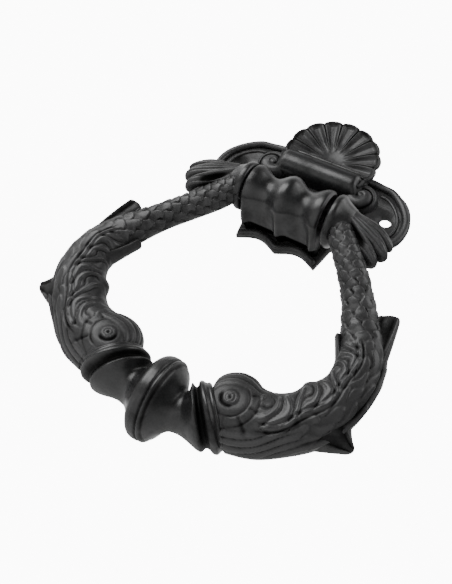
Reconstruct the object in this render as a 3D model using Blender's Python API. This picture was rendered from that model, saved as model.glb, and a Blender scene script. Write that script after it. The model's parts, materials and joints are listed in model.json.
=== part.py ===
"""Door knocker: a cast backplate with a scallop shell crest and a hinge knuckle, and a swinging ring
made of two dolphins that hold a turned grip between them.

Lengths are in metres. X runs to the viewer's right, Z up the door, and -Y out of the door.
The back of the plate lies on Y = 0, and Z = 0 is the height of the hinge axis.
"""

import math

import bmesh
import bpy
from mathutils import Matrix, Vector

MM = 0.001

# Clearances
SEAM = 0.3 * MM                # gap between castings that meet face to face
PIN_FIT = 0.25 * MM            # radial room of the pin in the knuckle
DOOR_GAP = 0.5 * MM            # room left between the grip and the door at rest
END_PLAY = 1.7 * MM            # gap at each end of the knuckle

# Backplate
PLATE_THICK = 4.0 * MM
PLATE_EDGE_BEVEL = 1.2 * MM
SCREW_HALF_PITCH = 40.0 * MM
SCREW_HEIGHT = 26.5 * MM
SCREW_HOLE_R = 2.7 * MM
COUNTERSINK_R = 5.8 * MM
COUNTERSINK_DEPTH = 2.6 * MM
LOBE_R = 17.0 * MM
LOBE_CENTRE = (SCREW_HALF_PITCH - 5.5 * MM, SCREW_HEIGHT - 1.5 * MM)
LIP_HALF_WIDTH = 20.8 * MM
LIP_DROP = 14.4 * MM
LIP_RISE = 3.8 * MM            # how far the lip curves up between its points
WAIST_HALF_WIDTH = 23.0 * MM
WAIST_HEIGHTS = (-4.0 * MM, 4.0 * MM)
WAIST_TAPER = 0.8 * MM

# Cornice bar and volutes
BAR_HEIGHT = 35.5 * MM         # middle of the bar above the hinge
BAR_R = 7.0 * MM
BAR_PROUD = 8.3 * MM
BAR_SUNK = PLATE_THICK / 2.0   # how deep the bar and the volutes are set into the plate
VOLUTE_X = 25.4 * MM
VOLUTE_Z = BAR_HEIGHT - 4.5 * MM
VOLUTE_R = 7.4 * MM
VOLUTE_FOOT_R = 5.8 * MM
VOLUTE_PROUD = 5.4 * MM
BAR_HALF_LENGTH = VOLUTE_X - VOLUTE_R + 1.2 * MM   # its ends run into the volutes

# Scallop shell
SHELL_R = 26.8 * MM
SHELL_BASE_Z = BAR_HEIGHT + BAR_R + 0.5 * MM
SHELL_TAB = (19.0 * MM, 10.0 * MM)   # half width and height of the plate's tab behind the shell
SHELL_LOBES = 9
SHELL_SCALLOP = 1.3 * MM
SHELL_THICK = 3.0 * MM
SHELL_LEAN = 2.4 * MM          # how far the top leans out from the plate
SHELL_DISH = 2.2 * MM          # how far the rim stands in front of the middle
SHELL_FLUTE = 1.0 * MM

# Hinge
HINGE_Y = -23.3 * MM
KNUCKLE_HALF = 19.9 * MM
KNUCKLE_RIB_R = 12.25 * MM
KNUCKLE_COVE_R = 9.2 * MM
KNUCKLE_END_R = 11.4 * MM
KNUCKLE_RIB_X = KNUCKLE_HALF - 2.4 * MM
BOSS_HALF_WIDTH = KNUCKLE_HALF - 1.3 * MM
BOSS_TOP = 9.0 * MM
BOSS_BOTTOM = 9.6 * MM
PIN_R = 3.0 * MM
COLLAR_R = 13.0 * MM
COLLAR_END_R = 8.2 * MM
COLLAR_WIDTH = 9.5 * MM
COLLAR_EDGE = 1.0 * MM         # chamfer beside the knuckle
COLLAR_RIM = 3.0 * MM          # width of the straight rim, the chamfer included
COLLAR_SLOPE = (3.5 * MM, 2.0 * MM)   # first step down from the rim: along and inward
COLLAR_TAIL = (3.0 * MM, 1.5 * MM)    # last step, which lies inside the leg
PIN_DEPTH = 7.0 * MM           # how far the pin reaches into each collar
PIN_TIP = 0.5 * MM

# Grip: stations of the turned, bent bar as (x, rise, lean of the section in degrees, radius), in mm,
# from its middle to its right end
GRIP_DROP = 108.1 * MM         # from the hinge axis down to the middle of the knob
GRIP_KNOB_R = 17.9 * MM
KNOB_R = GRIP_KNOB_R / MM
GRIP_LINE = (
    (0.0, 0.0, 0.0, KNOB_R),
    (2.2, 0.0, 0.0, KNOB_R - 0.5),
    (5.0, 0.0, 0.0, KNOB_R - 3.3),
    (7.4, 0.0, 2.0, 11.0),
    (10.8, 0.1, 8.0, 8.6),
    (14.2, 0.6, 16.0, 10.0),
    (17.0, 1.4, 26.0, 12.4),
    (18.4, 2.1, 34.0, 12.8),
    (19.6, 2.7, 38.0, 10.2),
    (21.0, 3.4, 40.0, 10.0),
    (21.8, 3.8, 42.0, 13.9),
    (23.4, 4.6, 43.0, 14.2),
    (24.4, 5.1, 43.0, 13.0),
)
GRIP_SIDES = 32
GRIP_Y = -(GRIP_KNOB_R + DOOR_GAP)

# Ring: the plane that the dolphins lie in, from just in front of the hinge down to the grip
RING_HALF_WIDTH = 64.6 * MM    # from the middle to the outermost point of a dolphin's middle line
RING_TOP_Y = HINGE_Y - 3.1 * MM
RING_LEAN = (GRIP_Y - RING_TOP_Y) / GRIP_DROP
LEG_R = 6.4 * MM
LEG_START = (6.0 * MM, 1.5 * MM, -1.0 * MM)   # from the collar's inner face: out, back and up
LEG_OVERLAP = 0.2              # share of the body's first stretch that the leg's root runs into
# One dolphin's middle line as (spread, drop, in-plane radius, depth radius): the spread runs from 0
# at the grip's end to 1 at the ring's widest point, the drop from 0 at the hinge to 1 at the grip
BODY_LINE = (
    (0.299, 0.123, 6.2, 6.2),
    (0.567, 0.253, 6.4, 6.4),
    (0.796, 0.370, 7.2, 7.2),
    (0.945, 0.472, 8.6, 8.2),
    (1.000, 0.569, 9.2, 8.6),
    (0.965, 0.671, 10.2, 9.2),
    (0.841, 0.770, 11.4, 9.8),
    (0.647, 0.845, 12.3, 10.2),
    (0.438, 0.888, 13.4, 11.0),
    (0.229, 0.910, 15.0, 12.0),
)
BODY_SIDES = 20
FIN_THICK = 4.6 * MM
FIN_EDGE = 1.0 * MM
# Corners of the fins as (spread, drop), the point first
UPPER_FIN = ((1.012, 0.296), (1.146, 0.481), (0.898, 0.509))
INNER_FIN = ((0.575, 0.460), (0.811, 0.435), (0.836, 0.583))
LOWER_FIN = ((1.271, 0.830), (1.072, 0.722), (0.886, 0.851))
TAIL_CENTRE = (19.0 * MM, -0.6 * MM, -4.8 * MM)    # from the collar's inner face: out, back and up
TAIL_SIZE = (11.8 * MM, 5.4 * MM, 8.8 * MM)
TAIL_ROOT = (6.4 * MM, 2.5 * MM)                   # where the ridges start: out and up
TAIL_RIDGES = 5
TAIL_FAN = 100.0                                   # degrees
TAIL_RIDGE_DEPTH = 1.1 * MM


def clear_scene():
    for obj in list(bpy.data.objects):
        bpy.data.objects.remove(obj, do_unlink=True)


def material(name, colour, roughness, metallic):
    made = bpy.data.materials.new(name)
    made.use_nodes = True
    shader = made.node_tree.nodes["Principled BSDF"]
    shader.inputs["Base Color"].default_value = (*colour, 1.0)
    shader.inputs["Roughness"].default_value = roughness
    shader.inputs["Metallic"].default_value = metallic
    return made


def new_object(name, mesh_builder, finish, smooth_angle=35.0):
    """Builds one closed mesh with the given function and links it as an object."""
    bm = bmesh.new()
    mesh_builder(bm)
    bmesh.ops.remove_doubles(bm, verts=bm.verts, dist=1e-6)
    bmesh.ops.recalc_face_normals(bm, faces=bm.faces)
    mesh = bpy.data.meshes.new(name)
    bm.to_mesh(mesh)
    bm.free()
    mesh.shade_smooth()
    mesh.set_sharp_from_angle(angle=math.radians(smooth_angle))
    obj = bpy.data.objects.new(name, mesh)
    bpy.context.scene.collection.objects.link(obj)
    if finish:
        obj.data.materials.append(finish)
    return obj


def helper(name, mesh_builder):
    """A cutter or a shape to be joined to another one: never drawn by itself."""
    obj = new_object(name, mesh_builder, None)
    obj.hide_render = True
    obj.display_type = "WIRE"
    return obj


def boolean(obj, other, operation):
    modifier = obj.modifiers.new(f"{operation.lower()}_{other.name}", "BOOLEAN")
    modifier.operation = operation
    modifier.solver = "EXACT"
    modifier.object = other
    return modifier


def set_origin(obj, point):
    """Moves the object's origin to the point and leaves its shape where it is."""
    obj.data.transform(Matrix.Translation(-Vector(point)))
    obj.location = point


def arc(centre, radius, start, end, steps):
    """Points on a circle in the plate's plane, from one angle in degrees to another."""
    turn = [math.radians(start + (end - start) * i / steps) for i in range(steps + 1)]
    return [(centre[0] + radius * math.cos(a), centre[1] + radius * math.sin(a)) for a in turn]


def prism(bm, outline, back, front):
    """A closed plate with the outline (x, z) between two Y planes."""
    verts = [bm.verts.new((x, back, z)) for x, z in outline]
    face = bm.faces.new(verts)
    swept = bmesh.ops.extrude_face_region(bm, geom=[face])
    moved = [item for item in swept["geom"] if isinstance(item, bmesh.types.BMVert)]
    bmesh.ops.translate(bm, verts=moved, vec=(0.0, front - back, 0.0))


def loft(bm, stations, sides):
    """Joins rings of points (centre, side axis, side radius, depth axis, depth radius) end to end."""
    rings = []
    for centre, side, side_r, depth, depth_r in stations:
        ring = []
        for i in range(sides):
            angle = 2.0 * math.pi * i / sides
            point = centre + side * (side_r * math.cos(angle)) + depth * (depth_r * math.sin(angle))
            ring.append(bm.verts.new(point))
        rings.append(ring)
    for near, far in zip(rings, rings[1:]):
        edges = []
        for ring in (near, far):
            for a, b in zip(ring, ring[1:] + ring[:1]):
                edges.append(bm.edges.get((a, b)) or bm.edges.new((a, b)))
        bmesh.ops.bridge_loops(bm, edges=edges)
    bm.faces.new(rings[0])
    bm.faces.new(rings[-1])


def turned(bm, profile, centre, sides):
    """Spins a profile of (x, radius) pairs about the line along X through the centre."""
    first = [bm.verts.new((x, centre[1] - radius, centre[2])) for x, radius in profile]
    line = [bm.edges.new(pair) for pair in zip(first, first[1:])]
    bmesh.ops.spin(
        bm, geom=first + line, cent=centre, axis=(1.0, 0.0, 0.0),
        angle=2.0 * math.pi, steps=sides, use_merge=True,
    )
    bmesh.ops.remove_doubles(bm, verts=bm.verts, dist=1e-6)
    bmesh.ops.recalc_face_normals(bm, faces=bm.faces)


def solid_profile(points):
    """Closes a profile on its axis at both ends."""
    return [(points[0][0], 0.0), *points, (points[-1][0], 0.0)]


# Backplate -----------------------------------------------------------------

def plate_outline():
    """Right half from the lip's middle point round to the top edge, then its mirror."""
    lip = []
    for i in range(9):
        share = i / 8
        wave = LIP_RISE * math.sin(math.pi * share) ** 1.5
        lip.append((LIP_HALF_WIDTH * share, -LIP_DROP + wave))
    low, high = WAIST_HEIGHTS
    side = [(WAIST_HALF_WIDTH - WAIST_TAPER, low), (WAIST_HALF_WIDTH, high)]
    lobe = arc(LOBE_CENTRE, LOBE_R, -112.0, 80.0, 20)
    crown = BAR_HEIGHT + BAR_R
    tab_x, tab_z = SHELL_TAB
    tab = arc((0.0, crown), tab_x, 0.0, 90.0, 8)
    tab = [(x, crown + (z - crown) * tab_z / tab_x) for x, z in tab]
    top = [(VOLUTE_X, crown), *tab]
    right = lip + side + lobe + top
    left = [(-x, z) for x, z in reversed(right[1:-1])]
    return right + left


def backplate(finish):
    plate = new_object("backplate", lambda bm: prism(bm, plate_outline(), 0.0, -PLATE_THICK), finish)
    edge = plate.modifiers.new("soft_edge", "BEVEL")
    edge.width = PLATE_EDGE_BEVEL
    edge.segments = 2
    edge.limit_method = "ANGLE"
    edge.angle_limit = math.radians(60.0)
    for side, name in ((-1, "left"), (1, "right")):
        boolean(plate, helper(f"{name}_volute_shape", lambda bm, s=side: volute(bm, s)), "UNION")
        boolean(plate, helper(f"{name}_screw_cutter", lambda bm, s=side: screw_cutter(bm, s)), "DIFFERENCE")
    boolean(plate, helper("bar_shape", bar), "UNION")
    return plate


def volute(bm, side):
    base, top = BAR_SUNK - PLATE_THICK, -PLATE_THICK - VOLUTE_PROUD
    place = Matrix.Translation((side * VOLUTE_X, (base + top) / 2.0, VOLUTE_Z)) @ Matrix.Rotation(
        math.pi / 2.0, 4, "X"
    )
    bmesh.ops.create_cone(
        bm, cap_ends=True, segments=28, radius1=VOLUTE_FOOT_R, radius2=VOLUTE_R,
        depth=base - top, matrix=place,
    )


def bar(bm):
    """Half-round cornice moulding between the volutes."""
    seat = BAR_SUNK - PLATE_THICK
    scale = Matrix.Diagonal((1.0, (BAR_PROUD + BAR_SUNK) / BAR_R, 1.0, 1.0))
    place = Matrix.Translation((0.0, seat, BAR_HEIGHT)) @ scale @ Matrix.Rotation(math.pi / 2.0, 4, "Y")
    bmesh.ops.create_cone(
        bm, cap_ends=True, segments=28, radius1=BAR_R, radius2=BAR_R,
        depth=2.0 * BAR_HALF_LENGTH, matrix=place,
    )
    cut = bmesh.ops.bisect_plane(
        bm, geom=list(bm.verts) + list(bm.edges) + list(bm.faces),
        plane_co=(0.0, seat, 0.0), plane_no=(0.0, 1.0, 0.0), clear_outer=True,
    )
    rim = [item for item in cut["geom_cut"] if isinstance(item, bmesh.types.BMEdge)]
    bmesh.ops.holes_fill(bm, edges=rim)


def screw_cutter(bm, side):
    """A straight hole with a countersink that opens at the plate's front."""
    spare = 1.0 * MM
    profile = [
        (spare, SCREW_HOLE_R),
        (-PLATE_THICK + COUNTERSINK_DEPTH, SCREW_HOLE_R),
        (-PLATE_THICK, COUNTERSINK_R),
        (-PLATE_THICK - VOLUTE_PROUD - spare, COUNTERSINK_R),
    ]
    turned(bm, solid_profile(profile), (0.0, 0.0, 0.0), 28)
    place = Matrix.Translation((side * SCREW_HALF_PITCH, 0.0, SCREW_HEIGHT)) @ Matrix.Rotation(
        math.pi / 2.0, 4, "Z"
    )
    bm.transform(place)


# Scallop shell -------------------------------------------------------------

def scallop_shell(finish):
    """A fan of lobes that leans out from the plate and is dished in its middle."""
    def build(bm):
        per_lobe = 6
        turns = SHELL_LOBES * per_lobe
        rings = 6
        base_y = -PLATE_THICK - SEAM
        grid = []
        for k in range(rings + 1):
            share = k / rings
            row = []
            for i in range(turns + 1):
                angle = math.pi * i / turns
                wave = abs(math.sin(math.pi * i / per_lobe))
                reach = SHELL_R * share * (1.0 - SHELL_SCALLOP / SHELL_R * (1.0 - wave) * share)
                x, z = reach * math.cos(angle), reach * math.sin(angle)
                lean = SHELL_LEAN * max(z, 0.0) / SHELL_R
                dish = SHELL_DISH * share * share
                ridge = SHELL_FLUTE * (1.0 - wave) * share
                row.append((x, base_y - lean - SHELL_THICK - dish - ridge, z))
            grid.append(row)
        front = [[bm.verts.new((x, y, SHELL_BASE_Z + z)) for x, y, z in row] for row in grid[1:]]
        hub_y = base_y - SHELL_THICK
        hub = bm.verts.new((0.0, hub_y, SHELL_BASE_Z))
        for a, b in zip(front[0], front[0][1:]):
            bm.faces.new((hub, a, b))
        for near, far in zip(front, front[1:]):
            for i in range(turns):
                bm.faces.new((near[i], far[i], far[i + 1], near[i + 1]))
        faces = list(bm.faces)
        swept = bmesh.ops.extrude_face_region(bm, geom=faces, use_keep_orig=True)
        moved = [item for item in swept["geom"] if isinstance(item, bmesh.types.BMVert)]
        bmesh.ops.translate(bm, verts=moved, vec=(0.0, SHELL_THICK, 0.0))
    return new_object("scallop_shell", build, finish)


# Hinge knuckle and pin ------------------------------------------------------

def knuckle_profile():
    """Three round ribs with coves between them, as (x, radius) from end to end."""
    points = [(-KNUCKLE_HALF, KNUCKLE_END_R)]
    steps = 24
    for i in range(steps + 1):
        x = -KNUCKLE_RIB_X + 2.0 * KNUCKLE_RIB_X * i / steps
        wave = math.cos(2.0 * math.pi * x / KNUCKLE_RIB_X)
        radius = KNUCKLE_COVE_R + (KNUCKLE_RIB_R - KNUCKLE_COVE_R) * (0.5 + 0.5 * wave)
        points.append((x, radius))
    points.append((KNUCKLE_HALF, KNUCKLE_END_R))
    return points


def hinge_knuckle(finish):
    centre = (0.0, HINGE_Y, 0.0)
    knuckle = new_object(
        "hinge_knuckle", lambda bm: turned(bm, solid_profile(knuckle_profile()), centre, 40), finish
    )

    def boss(bm):
        foot = -PLATE_THICK - SEAM
        outline = [
            (-BOSS_HALF_WIDTH, -BOSS_BOTTOM), (BOSS_HALF_WIDTH, -BOSS_BOTTOM),
            (BOSS_HALF_WIDTH, BOSS_TOP), (-BOSS_HALF_WIDTH, BOSS_TOP),
        ]
        prism(bm, outline, foot, HINGE_Y)

    def bore(bm):
        length = KNUCKLE_HALF + 2.0 * MM
        turned(bm, solid_profile([(-length, PIN_R + PIN_FIT), (length, PIN_R + PIN_FIT)]), centre, 28)

    boolean(knuckle, helper("boss_shape", boss), "UNION")
    boolean(knuckle, helper("pin_bore_cutter", bore), "DIFFERENCE")
    return knuckle


def hinge_pin(finish):
    half = KNUCKLE_HALF + END_PLAY + PIN_DEPTH - SEAM
    centre = (0.0, HINGE_Y, 0.0)
    end_r = PIN_R - PIN_TIP
    profile = [(-half, end_r), (-half + PIN_TIP, PIN_R), (half - PIN_TIP, PIN_R), (half, end_r)]
    pin = new_object("hinge_pin", lambda bm: turned(bm, solid_profile(profile), centre, 28), finish)
    set_origin(pin, centre)
    return pin


# Dolphins -------------------------------------------------------------------

def ring_point(side, spread, drop):
    """A point of the ring's middle plane, between the grip's end and the ring's widest point."""
    inner = GRIP_LINE[-1][0] * MM
    x = inner + spread * (RING_HALF_WIDTH - inner)
    z = -drop * GRIP_DROP
    return Vector((side * x, RING_TOP_Y - RING_LEAN * z, z))


def collar_point(side, out, back, up):
    """A point given from the middle of the collar's inner face."""
    return Vector((side * (KNUCKLE_HALF + END_PLAY + out), HINGE_Y + back, up))


def body_stations(side):
    """Sections along one dolphin, square to its middle line, the last one flat against the grip."""
    depth = Vector((0.0, 1.0, 0.0))
    grip_end, grip_across, grip_r, _, _ = grip_stations()[-1]
    facing = depth.cross(grip_across).normalized()
    nose = grip_end + facing * SEAM
    nose = Vector((side * nose.x, nose.y, nose.z))
    points = [ring_point(side, spread, drop) for spread, drop, _, _ in BODY_LINE] + [nose]
    stations = []
    for i, (_, _, side_r, depth_r) in enumerate(BODY_LINE):
        along = (points[i + 1] - points[max(i - 1, 0)]).normalized()
        across = depth.cross(along).normalized()
        stations.append((points[i], across, side_r * MM, depth, depth_r * MM))
    across = Vector((side * grip_across.x, 0.0, grip_across.z))
    if across.dot(stations[-1][1]) < 0.0:
        across = -across
    stations.append((nose, across, grip_r, depth, grip_r))
    return stations


def collar_shape(bm, side):
    """The round collar beside the knuckle, with a blind hole's worth of metal behind it."""
    inner = KNUCKLE_HALF + END_PLAY
    slope, fall = COLLAR_SLOPE
    tail, narrowing = COLLAR_TAIL
    profile = [
        (inner, COLLAR_R - COLLAR_EDGE), (inner + COLLAR_EDGE, COLLAR_R), (inner + COLLAR_RIM, COLLAR_R),
        (inner + COLLAR_RIM + slope, COLLAR_R - fall), (inner + COLLAR_WIDTH, COLLAR_END_R),
        (inner + COLLAR_WIDTH + tail, COLLAR_END_R - narrowing),
    ]
    turned(bm, solid_profile([(side * x, radius) for x, radius in profile]), (0.0, HINGE_Y, 0.0), 32)


def leg_root(bm, side):
    """The short stretch that carries the leg out from under the collar."""
    start = collar_point(side, *LEG_START)
    end = ring_point(side, *BODY_LINE[0][:2]).lerp(ring_point(side, *BODY_LINE[1][:2]), LEG_OVERLAP)
    along = (end - start).normalized()
    across = Vector((0.0, 1.0, 0.0)).cross(along).normalized()
    depth = along.cross(across)
    stations = [(p, across, LEG_R, depth, LEG_R) for p in (start, end)]
    loft(bm, stations, BODY_SIDES)


def tail_fan(bm, side):
    """A flat egg with ridges that fan out from beside the collar."""
    place = Matrix.Translation(collar_point(side, *TAIL_CENTRE))
    size = Matrix.Diagonal((*TAIL_SIZE, 1.0))
    bmesh.ops.create_icosphere(bm, subdivisions=4, radius=1.0, matrix=place @ size)
    root = collar_point(1, TAIL_ROOT[0], 0.0, TAIL_ROOT[1])
    for vert in bm.verts:
        across = side * vert.co.x - root.x
        angle = math.atan2(vert.co.z - root.z, across)
        wave = 0.5 - 0.5 * math.cos(2.0 * math.pi * TAIL_RIDGES * angle / math.radians(TAIL_FAN))
        reach = min(max(across / TAIL_SIZE[0], 0.0), 1.0)
        vert.co -= (vert.co - place.translation).normalized() * (TAIL_RIDGE_DEPTH * wave * reach)


def fin(bm, side, corners):
    """A pointed fin: a three-cornered blade with rounded edges, its root inside the body."""
    points = [ring_point(side, spread, drop) for spread, drop in corners]
    thick = Vector((0.0, FIN_THICK / 2.0, 0.0))
    back = [bm.verts.new(p + thick) for p in points]
    face = bm.faces.new(back)
    swept = bmesh.ops.extrude_face_region(bm, geom=[face])
    moved = [item for item in swept["geom"] if isinstance(item, bmesh.types.BMVert)]
    bmesh.ops.translate(bm, verts=moved, vec=-2.0 * thick)
    bmesh.ops.recalc_face_normals(bm, faces=bm.faces)
    bmesh.ops.bevel(
        bm, geom=list(bm.edges), offset=FIN_EDGE, segments=2, profile=0.5,
        affect="EDGES", material=-1,
    )


def pin_socket(bm, side):
    inner = KNUCKLE_HALF + END_PLAY
    radius = PIN_R + PIN_FIT
    profile = [(side * (inner - 1.0 * MM), radius), (side * (inner + PIN_DEPTH), radius)]
    turned(bm, solid_profile(profile), (0.0, HINGE_Y, 0.0), 28)


def dolphin(name, side, finish, swing):
    body = new_object(name, lambda bm: loft(bm, body_stations(side), BODY_SIDES), finish)
    shapes = (
        ("leg_root", leg_root), ("tail_fan", tail_fan), ("collar", collar_shape),
        ("upper_fin", lambda bm, s: fin(bm, s, UPPER_FIN)),
        ("inner_fin", lambda bm, s: fin(bm, s, INNER_FIN)),
        ("lower_fin", lambda bm, s: fin(bm, s, LOWER_FIN)),
    )
    for label, build in shapes:
        boolean(body, helper(f"{name}_{label}", lambda bm, b=build: b(bm, side)), "UNION")
    boolean(body, helper(f"{name}_socket", lambda bm: pin_socket(bm, side)), "DIFFERENCE")
    body.parent = swing
    body.matrix_parent_inverse = Matrix.Translation(-swing.location)
    return body


# Grip -------------------------------------------------------------------------

def grip_stations():
    """Sections of the grip from the left collar to the right one."""
    right = []
    for x, rise, lean, radius in GRIP_LINE:
        angle = math.radians(lean)
        across = Vector((-math.sin(angle), 0.0, math.cos(angle)))
        right.append((Vector((x * MM, GRIP_Y, rise * MM - GRIP_DROP)), across, radius * MM))
    left = [
        (Vector((-p.x, p.y, p.z)), Vector((-a.x, 0.0, a.z)), radius)
        for p, a, radius in reversed(right[1:])
    ]
    depth = Vector((0.0, 1.0, 0.0))
    return [(p, a, radius, depth, radius) for p, a, radius in left + right]


def baluster_grip(finish, swing):
    grip = new_object("baluster_grip", lambda bm: loft(bm, grip_stations(), GRIP_SIDES), finish)
    grip.parent = swing
    grip.matrix_parent_inverse = Matrix.Translation(-swing.location)
    return grip


def main():
    clear_scene()
    iron = material("satin_black_iron", (0.02, 0.02, 0.021), 0.42, 0.6)
    steel = material("blackened_steel", (0.10, 0.10, 0.105), 0.35, 1.0)
    swing = bpy.data.objects.new("ring_axis", None)
    bpy.context.scene.collection.objects.link(swing)
    swing.location = (0.0, HINGE_Y, 0.0)
    backplate(iron)
    scallop_shell(iron)
    hinge_knuckle(iron)
    hinge_pin(steel)
    dolphin("left_dolphin", -1, iron, swing)
    dolphin("right_dolphin", 1, iron, swing)
    baluster_grip(iron, swing)


main()
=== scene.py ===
"""Looks of the door knocker: two cast dolphins that hold a turned grip, hung on a scrolled plate."""

import json
import math

import bmesh
import bpy
import numpy as np
from mathutils import Matrix, Vector

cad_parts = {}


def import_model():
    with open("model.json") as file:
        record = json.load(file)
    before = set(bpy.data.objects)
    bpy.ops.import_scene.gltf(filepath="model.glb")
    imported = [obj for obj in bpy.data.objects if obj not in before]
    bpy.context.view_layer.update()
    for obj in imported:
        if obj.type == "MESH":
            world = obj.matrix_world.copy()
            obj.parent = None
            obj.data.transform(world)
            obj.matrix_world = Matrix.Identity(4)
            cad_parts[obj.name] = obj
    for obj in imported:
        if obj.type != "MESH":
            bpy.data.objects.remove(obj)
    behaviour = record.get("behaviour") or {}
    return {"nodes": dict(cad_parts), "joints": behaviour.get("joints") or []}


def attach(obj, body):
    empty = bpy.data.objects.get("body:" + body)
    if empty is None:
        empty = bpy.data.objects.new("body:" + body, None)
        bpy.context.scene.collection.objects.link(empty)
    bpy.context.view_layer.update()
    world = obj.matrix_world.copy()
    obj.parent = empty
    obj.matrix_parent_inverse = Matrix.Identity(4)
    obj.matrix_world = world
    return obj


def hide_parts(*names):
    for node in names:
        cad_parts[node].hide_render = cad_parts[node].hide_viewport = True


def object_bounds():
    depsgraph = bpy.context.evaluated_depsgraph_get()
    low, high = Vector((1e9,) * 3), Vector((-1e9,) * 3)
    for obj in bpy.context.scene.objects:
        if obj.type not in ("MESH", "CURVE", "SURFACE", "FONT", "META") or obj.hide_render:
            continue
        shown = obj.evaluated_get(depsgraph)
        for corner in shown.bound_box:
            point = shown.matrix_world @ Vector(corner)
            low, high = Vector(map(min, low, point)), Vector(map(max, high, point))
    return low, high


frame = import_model()
cad_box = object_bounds()

MM = 0.001
HINGE = Vector(frame["joints"][0]["pos_m"])
HINGE_Y = HINGE.y / MM
MOUNT = "mounting"
RING = "ring"
MERGE = 2e-6

# Sizes below are in millimetres, in the frame's directions.
SIDE_PLAY = 1.0            # the ring hangs a little to the right on its pin
CREST_SHIFT = -1.6         # the lobes and scrolls sit a little to the left of the knuckle
SHELL_SHIFT = -0.4
RING_TOP_Y = -26.4
RING_LEAN = 0.084

# One dolphin from its tail to its nose: x, z, inner half width, outer half width, half depth
DOLPHIN = (
    (25.0, -3.5, 5.6, 5.6, 5.6),
    (31.5, -12.0, 6.2, 6.2, 6.2),
    (40.0, -22.6, 6.2, 6.2, 6.2),
    (48.0, -33.0, 6.4, 6.4, 6.4),
    (54.5, -42.8, 7.4, 7.4, 6.8),
    (60.0, -52.0, 9.0, 9.2, 7.6),
    (63.3, -60.5, 9.8, 9.8, 8.6),
    (64.2, -68.0, 10.2, 9.9, 9.2),
    (61.8, -77.0, 10.9, 11.0, 9.8),
    (56.2, -86.0, 11.6, 12.2, 10.2),
    (48.0, -93.2, 11.8, 12.6, 10.8),
    (39.8, -97.4, 13.8, 13.8, 11.6),
    (33.2, -99.5, 16.4, 13.8, 12.4),
    (28.6, -101.0, 16.0, 13.4, 12.6),
    (24.4, -103.6, 11.6, 12.0, 11.8),
)
DOLPHIN_STEPS = (340, 168)
EYE = (28.6, -97.4)

# Grip: distance along its bent axis, then x, z and the lean of the section in degrees
GRIP_Y = -18.7
GRIP_AXIS = (
    (0.0, 0.0, -108.1, 0.0),
    (9.0, 9.0, -108.1, 4.0),
    (11.5, 11.5, -108.0, 13.0),
    (14.0, 14.0, -107.7, 24.0),
    (18.0, 17.8, -106.9, 37.0),
    (21.5, 20.9, -105.5, 41.0),
    (24.5, 23.4, -103.9, 43.0),
    (27.4, 25.4, -102.2, 43.0),
)
# Radius of the grip against the same distance
GRIP_RADIUS = (
    (0.0, 17.9), (1.8, 17.75), (3.4, 17.0), (4.8, 15.4), (6.2, 13.0), (7.8, 10.7), (9.4, 9.1),
    (11.0, 8.6), (12.8, 8.9), (14.4, 10.0), (16.0, 11.6), (17.2, 12.8), (18.1, 13.3), (18.9, 12.9),
    (19.7, 12.1), (20.6, 11.9), (21.4, 12.6), (22.1, 13.8), (23.0, 14.4), (24.0, 14.3), (24.9, 13.6),
    (25.7, 13.3), (26.5, 13.3), (27.0, 12.9), (27.4, 12.2),
)
GRIP_GROOVE = (20.4, 1.5)       # middle and half width of the painted shade in the deep groove before the flange
KNOB_GROOVES = (1.6, 3.7)
FOREHEAD = {1: 2.0, -1: -0.3}    # the right head's forehead is cast fuller than the left one's


# Plate trim
BAR_HALF_LENGTH = 24.0
BAR_DIP_FROM = 18.5             # the bar thins towards its ends from here out
VOLUTE_R = 8.8
VOLUTE_COIL = 7.2               # spacing of the spiral's turns
INNER_RIM_CENTRE = (34.0, 25.0)
INNER_RIM_INSET = 0.74
INNER_RIM_Y = -4.1
ROLL_END_ROUND = 1.0            # length over which a bead rounds off at each end

# Stage, in metres
FLOOR_HALF = 3.0
FLOOR_BELOW = 0.25


# Mesh helpers ---------------------------------------------------------------

def smooth_step(value, low, high):
    share = np.clip((value - low) / (high - low), 0.0, 1.0)
    return share * share * (3.0 - 2.0 * share)


def bell(value, width):
    return np.exp(-(value / width) ** 2)


def through(knots, values, at):
    """A smooth curve through the values, read at the given places."""
    knots, values, at = np.asarray(knots, float), np.asarray(values, float), np.asarray(at, float)
    if values.ndim == 1:
        return through(knots, values[:, None], at)[..., 0]
    slope = np.gradient(values, knots, axis=0)
    i = np.clip(np.searchsorted(knots, at) - 1, 0, len(knots) - 2)
    span = (knots[i + 1] - knots[i])[..., None]
    t = ((at - knots[i])[..., None] / span)
    start = (2 * t ** 3 - 3 * t ** 2 + 1) * values[i] + (t ** 3 - 2 * t ** 2 + t) * span * slope[i]
    end = (3 * t ** 2 - 2 * t ** 3) * values[i + 1] + (t ** 3 - t ** 2) * span * slope[i + 1]
    return start + end


def finished(name, bm, finish, body, replaced=(), crease=None):
    """Closes a mesh, turns its faces outward and hangs it on its body."""
    bmesh.ops.remove_doubles(bm, verts=bm.verts, dist=MERGE)
    rim = [edge for edge in bm.edges if edge.is_boundary]
    if rim:
        bmesh.ops.holes_fill(bm, edges=rim)
    bmesh.ops.dissolve_degenerate(bm, edges=bm.edges, dist=MERGE)
    bmesh.ops.recalc_face_normals(bm, faces=bm.faces)
    if "relief" not in bm.verts.layers.float:
        layer = bm.verts.layers.float.new("relief")
        for vert in bm.verts:
            vert[layer] = 0.5
    mesh = bpy.data.meshes.new(name)
    bm.to_mesh(mesh)
    bm.free()
    mesh.shade_smooth()
    if crease:
        mesh.set_sharp_from_angle(angle=math.radians(crease))
    mesh.materials.append(finish)
    piece = bpy.data.objects.new(name, mesh)
    bpy.context.scene.collection.objects.link(piece)
    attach(piece, body)
    if replaced:
        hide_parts(*replaced)
    return piece


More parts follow.
